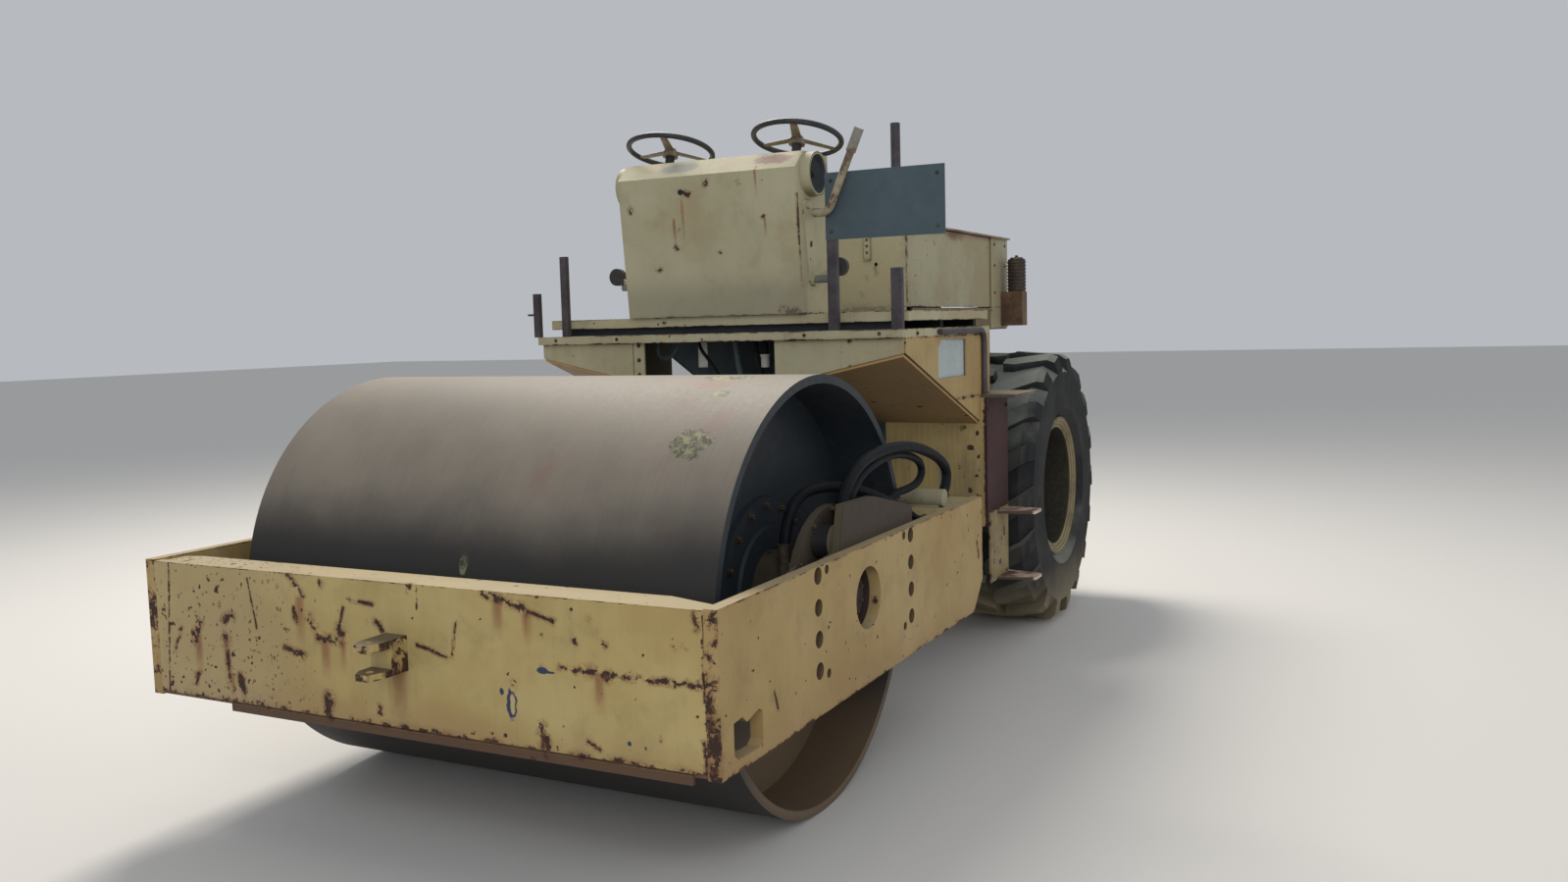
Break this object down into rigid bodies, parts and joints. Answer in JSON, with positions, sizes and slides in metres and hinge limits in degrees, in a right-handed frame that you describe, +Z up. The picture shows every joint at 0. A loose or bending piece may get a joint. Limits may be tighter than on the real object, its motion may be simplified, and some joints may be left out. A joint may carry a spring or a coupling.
{
  "type": "road roller",
  "caption": "Single drum articulated vibratory road roller with a smooth drum, a stand-up console with two steering wheels, a rear engine hood and lugged rear tyres.",
  "frame": {"origin": "on the ground under the articulation pin", "axes": "-Y forward towards the drum, +X to the machine's left, +Z up"},
  "size_m": [2.406, 5.31, 2.92],
  "materials": {
    "cream_paint": "worn satin",
    "worn_steel": "rusted",
    "red_primer": "matt",
    "pale_sheet": "matt",
    "dark_paint": "matt",
    "bright_rod": "polished",
    "black_rubber": "matt",
    "black_plastic": "matt",
    "tyre": "dusty"
  },
  "bodies": {
    "chassis": {"chassis_rails": "cream_paint", "chassis_neck": "cream_paint", "rear_axle": "cream_paint", "side_tanks": "red_primer", "ledges": "worn_steel", "steps": "worn_steel", "platform_gussets": "cream_paint", "lower_deck": "cream_paint", "platform_fascia": "cream_paint", "platform_sides": "cream_paint", "side_sheets": "pale_sheet", "slope_guards": "cream_paint", "upper_deck": "cream_paint", "deck_mounts": "dark_paint", "console_shell": "cream_paint", "lamp_housings": "cream_paint", "steer_columns": "dark_paint", "console_arms": "cream_paint", "control_lever": "cream_paint", "tube_rails": "dark_paint", "posts": "dark_paint", "board": "dark_paint", "hood_front": "cream_paint", "hood_roof": "cream_paint", "hood_corners": "cream_paint", "hood_grille": "dark_paint", "bay_walls": "cream_paint", "bay_bulkhead": "dark_paint", "hood_floor": "cream_paint", "engine": "dark_paint", "exhaust_stack": "dark_paint", "air_filter": "dark_paint", "rear_weight": "cream_paint"},
    "pivot": {"centre_pivot": "cream_paint"},
    "front_frame": {"frame_side_left": "cream_paint", "frame_side_right": "cream_paint", "frame_front_plate": "cream_paint", "frame_rear_beam": "cream_paint", "tow_clevis": "cream_paint", "drum_carrier_left": "cream_paint", "drum_carrier_right": "cream_paint", "scraper_bar": "worn_steel", "hose_blocks": "cream_paint", "drum_hoses": "black_rubber"},
    "drum": {"drum": "worn_steel"},
    "wheel_left": {"rim_left": "cream_paint", "tyre_left": "tyre"},
    "wheel_right": {"rim_right": "cream_paint", "tyre_right": "tyre"},
    "hand_wheel_left": {"steer_wheel_left": "black_plastic"},
    "hand_wheel_right": {"steer_wheel_right": "black_plastic"},
    "barrel_left": {"steer_barrel_left": "cream_paint"},
    "barrel_right": {"steer_barrel_right": "cream_paint"},
    "rod_left": {"steer_rod_left": "bright_rod"},
    "rod_right": {"steer_rod_right": "bright_rod"},
    "hood_door_left": {"hood_door_left": "cream_paint"},
    "hood_door_right": {"hood_door_right": "cream_paint"}
  },
  "joints": [
    {"name": "articulation_steer", "type": "hinge", "parent": "chassis", "child": "pivot", "pos_m": [0, 0, 0.74], "axis": [0, 0, 1], "range_deg": [-35, 35]},
    {"name": "frame_oscillation", "type": "hinge", "parent": "pivot", "child": "front_frame", "pos_m": [0, -0.5, 0.74], "axis": [0, 1, 0], "range_deg": [-10, 10]},
    {"name": "drum_roll", "type": "hinge", "parent": "front_frame", "child": "drum", "pos_m": [0, -1.6, 0.8], "axis": [1, 0, 0], "continuous": true},
    {"name": "wheel_left_roll", "type": "hinge", "parent": "chassis", "child": "wheel_left", "pos_m": [0.805, 1.64, 0.795], "axis": [1, 0, 0], "continuous": true},
    {"name": "wheel_right_roll", "type": "hinge", "parent": "chassis", "child": "wheel_right", "pos_m": [-0.805, 1.64, 0.795], "axis": [1, 0, 0], "continuous": true},
    {"name": "hand_wheel_left_turn", "type": "hinge", "parent": "chassis", "child": "hand_wheel_left", "pos_m": [0.345, -0.352, 2.552], "axis": [0, 0.2588, 0.9659], "continuous": true},
    {"name": "hand_wheel_right_turn", "type": "hinge", "parent": "chassis", "child": "hand_wheel_right", "pos_m": [-0.345, -0.352, 2.552], "axis": [0, 0.2588, 0.9659], "continuous": true},
    {"name": "steer_barrel_left_swing", "type": "hinge", "parent": "chassis", "child": "barrel_left", "pos_m": [0.3, 0.5, 0.77], "axis": [0, 0, 1], "range_deg": [-3.72, 3.72]},
    {"name": "steer_rod_left_slide", "type": "slide", "parent": "barrel_left", "child": "rod_left", "axis": [-0.0987, -0.9951, 0], "range_m": [-0.1478, 0.1478]},
    {"name": "steer_barrel_right_swing", "type": "hinge", "parent": "chassis", "child": "barrel_right", "pos_m": [-0.3, 0.5, 0.77], "axis": [0, 0, 1], "range_deg": [-3.72, 3.72]},
    {"name": "steer_rod_right_slide", "type": "slide", "parent": "barrel_right", "child": "rod_right", "axis": [0.0987, -0.9951, 0], "range_m": [-0.1478, 0.1478]},
    {"name": "hood_door_left_open", "type": "hinge", "parent": "chassis", "child": "hood_door_left", "pos_m": [0.559, 1.961, 2.07], "axis": [0, 0, 1], "range_deg": [0, 100]},
    {"name": "hood_door_right_open", "type": "hinge", "parent": "chassis", "child": "hood_door_right", "pos_m": [-0.559, 1.961, 2.07], "axis": [0, 0, 1], "range_deg": [-100, 0]}
  ],
  "couplings": [
    {"joint": "steer_rod_left_slide", "follows": "articulation_steer", "m_per_rad": -0.23861},
    {"joint": "steer_rod_right_slide", "follows": "articulation_steer", "m_per_rad": 0.23861},
    {"joint": "steer_barrel_left_swing", "follows": "articulation_steer", "ratio": 0.10343},
    {"joint": "steer_barrel_right_swing", "follows": "articulation_steer", "ratio": 0.10343}
  ]
}
